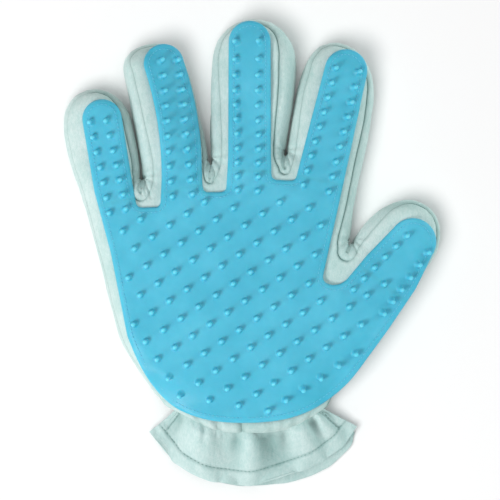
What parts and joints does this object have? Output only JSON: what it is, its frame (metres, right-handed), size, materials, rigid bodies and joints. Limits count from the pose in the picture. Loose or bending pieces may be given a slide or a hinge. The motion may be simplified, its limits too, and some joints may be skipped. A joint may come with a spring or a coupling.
{
  "type": "grooming glove",
  "caption": "Five-finger right-hand fabric glove with a nubbed silicone palm pad for brushing pets, side gussets, elasticated wrist and flared cuff.",
  "frame": {"origin": "centre of the box's underside, on the back of the hand where the glove lies on a surface", "axes": "+Z is the palm's outward normal, +Y points to the fingertips, +X to the thumb's side"},
  "size_m": [0.1891, 0.2331, 0.029],
  "materials": {
    "blue_silicone": "satin",
    "mint_plush": "plush",
    "white_elastic": "woven"
  },
  "bodies": {
    "palm": {"back_panel": "mint_plush", "cuff_back_flap": "mint_plush", "cuff_front_flap": "mint_plush", "little_side_gusset": "mint_plush", "palm_pad": "blue_silicone", "palm_panel": "mint_plush", "thumb_side_gusset": "mint_plush", "web_index_thumb": "mint_plush", "web_little_ring": "mint_plush", "web_middle_index": "mint_plush", "web_ring_middle": "mint_plush", "wrist_casing": "mint_plush", "wrist_elastic": "white_elastic"},
    "little_finger": {"little_pad": "blue_silicone", "little_palm_panel": "mint_plush", "little_back_panel": "mint_plush", "little_little_side_gusset": "mint_plush", "little_thumb_side_gusset": "mint_plush"},
    "ring_finger": {"ring_pad": "blue_silicone", "ring_palm_panel": "mint_plush", "ring_back_panel": "mint_plush", "ring_little_side_gusset": "mint_plush", "ring_thumb_side_gusset": "mint_plush"},
    "middle_finger": {"middle_pad": "blue_silicone", "middle_palm_panel": "mint_plush", "middle_back_panel": "mint_plush", "middle_little_side_gusset": "mint_plush", "middle_thumb_side_gusset": "mint_plush"},
    "index_finger": {"index_pad": "blue_silicone", "index_palm_panel": "mint_plush", "index_back_panel": "mint_plush", "index_little_side_gusset": "mint_plush", "index_thumb_side_gusset": "mint_plush"},
    "thumb": {"thumb_pad": "blue_silicone", "thumb_palm_panel": "mint_plush", "thumb_back_panel": "mint_plush", "thumb_little_side_gusset": "mint_plush", "thumb_thumb_side_gusset": "mint_plush"}
  },
  "joints": [
    {"name": "little_knuckle", "type": "hinge", "parent": "palm", "child": "little_finger", "pos_m": [-0.0717, 0.032, 0.02595], "axis": [0.9781, 0.2079, 0], "range_deg": [0, 75], "stiffness_Nm_per_rad": 0.02},
    {"name": "ring_knuckle", "type": "hinge", "parent": "palm", "child": "ring_finger", "pos_m": [-0.038, 0.0388, 0.02595], "axis": [0.9816, 0.1908, 0], "range_deg": [0, 75], "stiffness_Nm_per_rad": 0.02},
    {"name": "middle_knuckle", "type": "hinge", "parent": "palm", "child": "middle_finger", "pos_m": [-0.0025, 0.0476, 0.02595], "axis": [0.9994, -0.0349, 0], "range_deg": [0, 75], "stiffness_Nm_per_rad": 0.02},
    {"name": "index_knuckle", "type": "hinge", "parent": "palm", "child": "index_finger", "pos_m": [0.0355, 0.0432, 0.02595], "axis": [0.9781, -0.2079, 0], "range_deg": [0, 75], "stiffness_Nm_per_rad": 0.02},
    {"name": "thumb_knuckle", "type": "hinge", "parent": "palm", "child": "thumb", "pos_m": [0.0652, -0.0069, 0.02595], "axis": [0.7986, -0.6018, 0], "range_deg": [0, 75], "stiffness_Nm_per_rad": 0.02}
  ]
}
